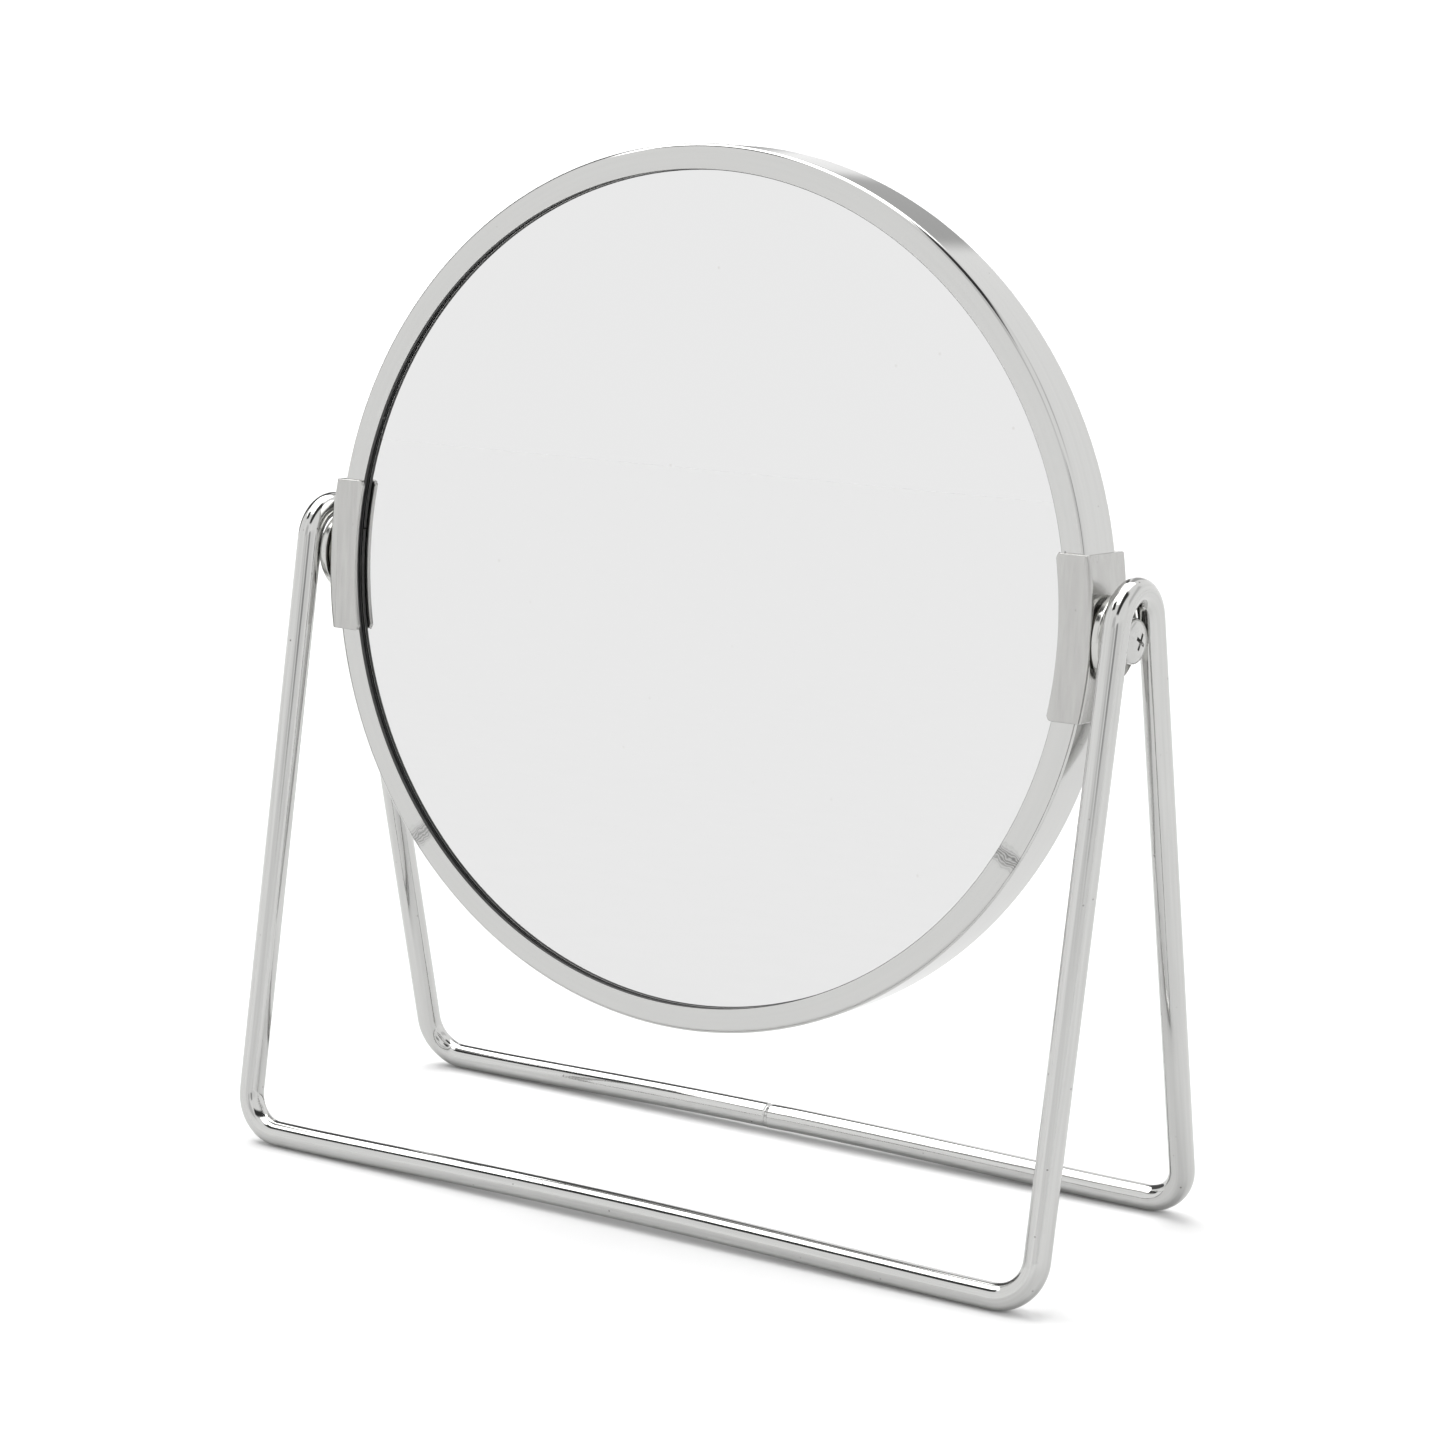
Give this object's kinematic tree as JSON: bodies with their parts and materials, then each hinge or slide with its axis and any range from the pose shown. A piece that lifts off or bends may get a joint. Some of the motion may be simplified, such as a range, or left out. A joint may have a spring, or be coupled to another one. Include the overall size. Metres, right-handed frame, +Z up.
{
  "type": "tilting table mirror",
  "caption": "Round double-sided mirror in a chromed channel rim, turning on friction pivots in a bent wire stand that rests on a table.",
  "frame": {"origin": "on the table, under the middle of the stand", "axes": "+Z up, the plain mirror faces -Y and leans back 4.4 degrees, the pivots lie along X"},
  "size_m": [0.1874, 0.0682, 0.2034],
  "materials": {
    "chrome_wire": "bright chrome plate on drawn steel wire",
    "chrome_rim": "bright chrome plate on rolled sheet",
    "clip_plate": "slightly duller plate on pressed sheet",
    "screw_steel": "nickel-plated screw",
    "bare_steel": "zinc-plated stamped steel",
    "mirror_glass": "polished float glass, silvered on the inner face",
    "gasket_rubber": "matt black rubber strip",
    "nylon": "natural nylon",
    "spacer_board": "grey-brown pressed fibre board"
  },
  "bodies": {
    "stand": {"wire_stand": "chrome_wire", "left_pivot_cup": "chrome_wire", "right_pivot_cup": "chrome_wire", "left_friction_washer": "nylon", "right_friction_washer": "nylon"},
    "mirror_head": {"rim_ring": "chrome_rim", "front_glass": "mirror_glass", "rear_glass": "mirror_glass", "front_gasket": "gasket_rubber", "rear_gasket": "gasket_rubber", "spacer_ring": "spacer_board", "left_clip": "clip_plate", "right_clip": "clip_plate", "left_nut_plate": "bare_steel", "right_nut_plate": "bare_steel", "left_spring_washer": "bare_steel", "right_spring_washer": "bare_steel", "left_pivot_screw": "screw_steel", "right_pivot_screw": "screw_steel"}
  },
  "joints": [
    {"name": "mirror_tilt", "type": "hinge", "parent": "stand", "child": "mirror_head", "pos_m": [0, 0, 0.1182], "axis": [1, 0, 0], "continuous": true}
  ]
}
